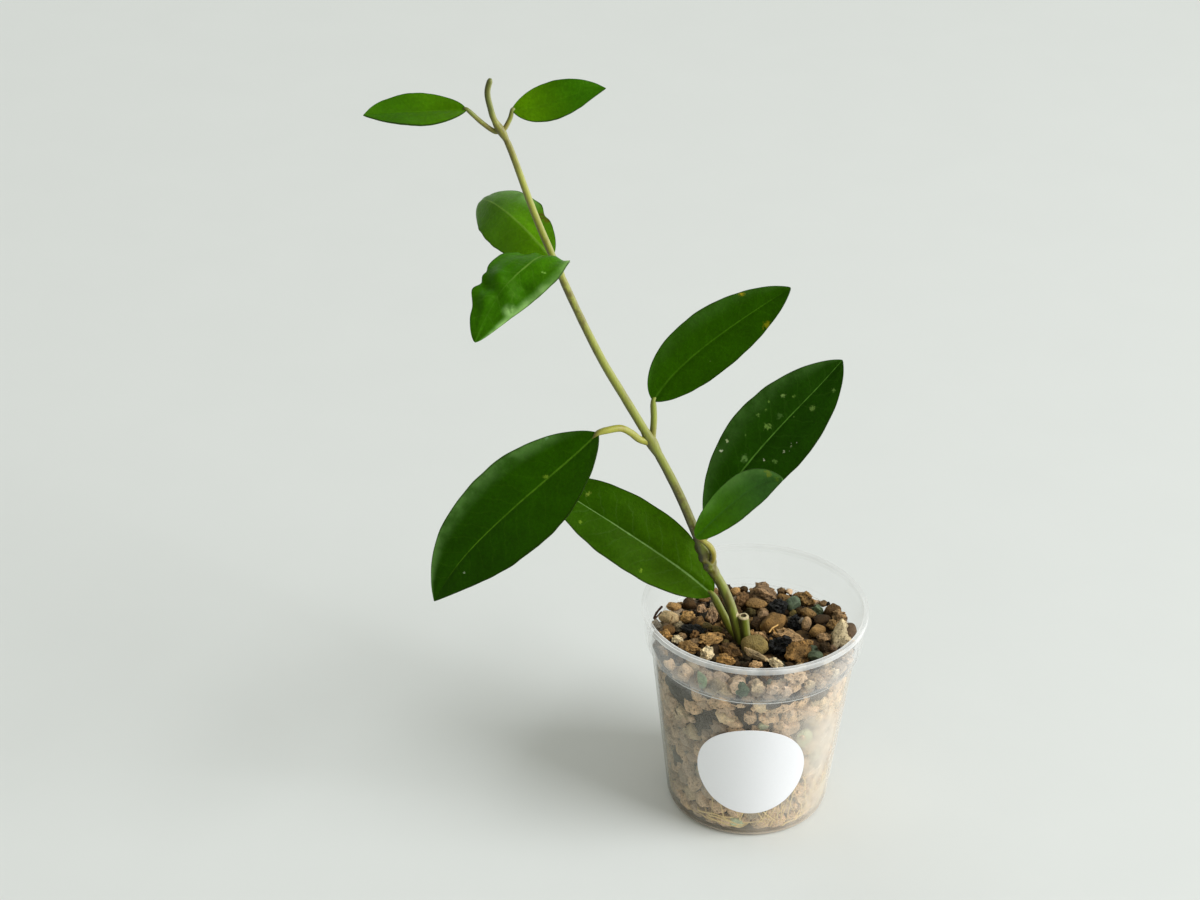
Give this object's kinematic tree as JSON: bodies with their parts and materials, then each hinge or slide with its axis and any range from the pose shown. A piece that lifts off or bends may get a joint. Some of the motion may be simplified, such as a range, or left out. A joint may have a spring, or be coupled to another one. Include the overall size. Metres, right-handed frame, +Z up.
{
  "type": "potted hoya plant",
  "caption": "Young hoya vine with paired waxy leaves on a leaning stem, rooted in pumice gravel in a clear plastic pot with a blank round label.",
  "frame": {"origin": "the middle of the pot's flat underside", "axes": "+Z up along the pot's axis, -Y towards the front, where the label is, and +X to the right seen from the front"},
  "size_m": [0.1729, 0.0826, 0.2772],
  "materials": {
    "clear_plastic": "milky clear thin plastic, smooth and glossy",
    "label_paper": "matt white coated paper, left blank",
    "pumice_gravel": "dry porous tan and brown pebbles with charcoal and green bits",
    "root": "dry straw-coloured root",
    "stem": "smooth olive green bark with a brown flush",
    "young_leaf": "waxy bright green leaf with a paler midrib",
    "leaf": "waxy dark green leaf with a paler midrib and small pale flecks"
  },
  "bodies": {
    "root": {"pot": "clear_plastic", "label": "label_paper", "gravel": "pumice_gravel", "roots": "root", "vine": "stem", "leaf_top_left": "young_leaf", "leaf_top_right": "young_leaf", "leaf_upper_back": "leaf", "leaf_upper_front": "leaf", "leaf_middle_left": "leaf", "leaf_middle_right": "leaf", "leaf_lower_right_large": "leaf", "leaf_lower_right_small": "leaf", "leaf_base_left": "young_leaf"}
  },
  "joints": []
}
